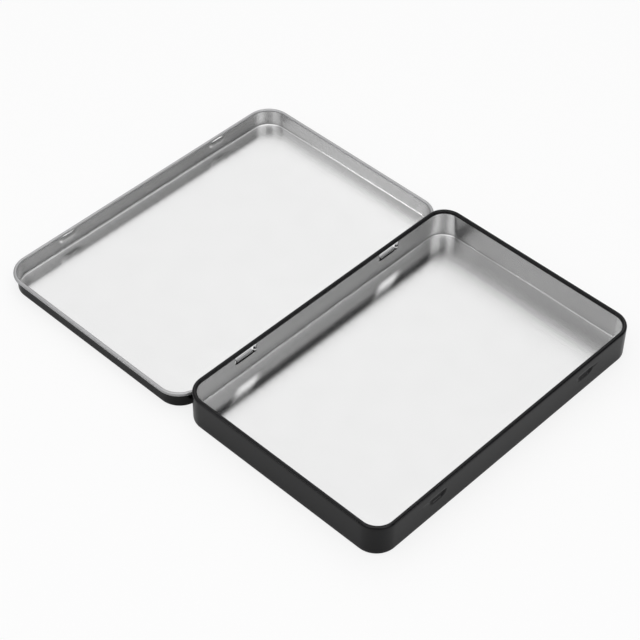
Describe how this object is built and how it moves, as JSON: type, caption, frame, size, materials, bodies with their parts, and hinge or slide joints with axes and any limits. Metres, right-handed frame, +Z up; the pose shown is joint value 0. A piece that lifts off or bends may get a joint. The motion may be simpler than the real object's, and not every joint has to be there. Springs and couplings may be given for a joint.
{
  "type": "flat hinged tinplate card box",
  "caption": "Flat rectangular tinplate box with rounded corners, rolled rims and a shallow lid hinged along one long side, laid open flat and empty.",
  "frame": {"origin": "middle of the underside of the deep tray's floor, on the surface that the open box stands on", "axes": "+X along the long side and the hinge line, +Y from the deep tray over the hinge to the open lid, +Z up"},
  "size_m": [0.164, 0.2207, 0.0158],
  "materials": {
    "bright_tinplate": "bare bright tinplate, the inside of both trays and the lid's rolled rim",
    "black_lacquer": "satin black stoved lacquer, the outside of both trays and the deep tray's rolled rim"
  },
  "bodies": {
    "base": {"base_tray": "bright_tinplate"},
    "lid": {"lid_tray": "bright_tinplate"}
  },
  "joints": [
    {"name": "lid_hinge", "type": "hinge", "parent": "base", "child": "lid", "pos_m": [0, 0.05525, 0.0081], "axis": [1, 0, 0], "range_deg": [0, 180]}
  ]
}
